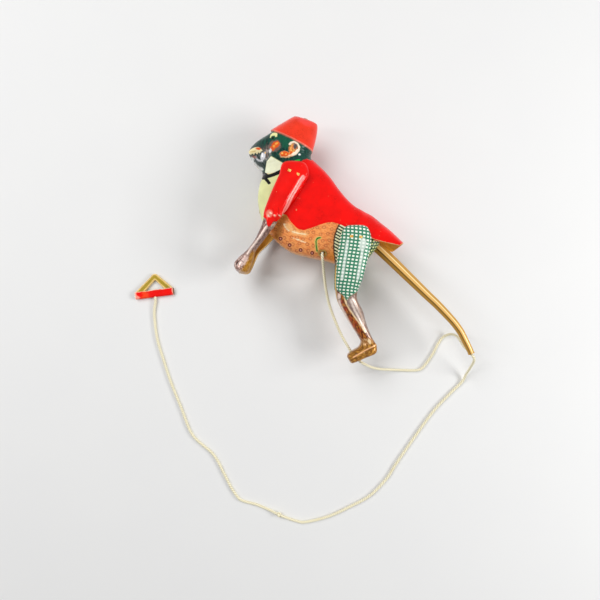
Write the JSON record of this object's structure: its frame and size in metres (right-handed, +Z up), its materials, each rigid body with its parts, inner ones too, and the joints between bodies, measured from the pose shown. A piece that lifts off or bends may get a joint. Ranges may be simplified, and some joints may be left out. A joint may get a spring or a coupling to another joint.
{
  "type": "climbing monkey toy",
  "caption": "Pressed tinplate climbing monkey with swinging arms and legs on bent-over axle prongs, a rolled tail, and a pull cord from a hip lever to a finger handle.",
  "frame": {"origin": "under the middle of the toy and its handle on the table, with the free cord left out", "axes": "the toy lies on its far side: +Z up through its thickness, +Y towards the head, +X towards the tail"},
  "size_m": [0.2478, 0.2949, 0.044],
  "materials": {
    "printed_tin": "lithographed tinplate with a gloss varnish, lightly scratched",
    "gold_lacquer": "transparent gold lacquer on tinplate",
    "red_lacquer": "gloss red lacquer",
    "bare_steel": "tinned, dull",
    "spring_wire": "drawn spring wire",
    "cotton_cord": "twisted waxed cotton"
  },
  "bodies": {
    "body": {"near_body_shell": "printed_tin", "far_body_shell": "printed_tin", "tail": "gold_lacquer", "belly_eyelet": "gold_lacquer", "spring_post": "bare_steel", "hip_spring": "spring_wire", "cord_inside": "cotton_cord", "cord_belly_to_foot": "cotton_cord", "cord_foot_to_tail": "cotton_cord", "cord_tail_to_knot": "cotton_cord", "cord_knot": "cotton_cord", "cord_knot_to_handle": "cotton_cord", "cord_end_knot": "cotton_cord", "handle_frame": "gold_lacquer", "handle_bar": "red_lacquer"},
    "legs": {"near_leg": "printed_tin", "far_leg": "printed_tin", "hip_axle": "bare_steel", "hip_lever": "bare_steel", "lever_knot": "cotton_cord", "cord_in_foot": "cotton_cord"},
    "arms": {"near_arm": "printed_tin", "far_arm": "printed_tin", "shoulder_axle": "bare_steel"}
  },
  "joints": [
    {"name": "hip_swing", "type": "hinge", "parent": "body", "child": "legs", "pos_m": [0.0384, -0.0015, 0.022], "axis": [0, 0, 1], "range_deg": [-55, 25], "stiffness_Nm_per_rad": 0.01, "deforming": ["hip_spring", "cord_inside", "cord_belly_to_foot", "cord_foot_to_tail"]},
    {"name": "shoulder_swing", "type": "hinge", "parent": "body", "child": "arms", "pos_m": [-0.0026, 0.0405, 0.022], "axis": [0, 0, 1], "range_deg": [-90, 5]}
  ]
}
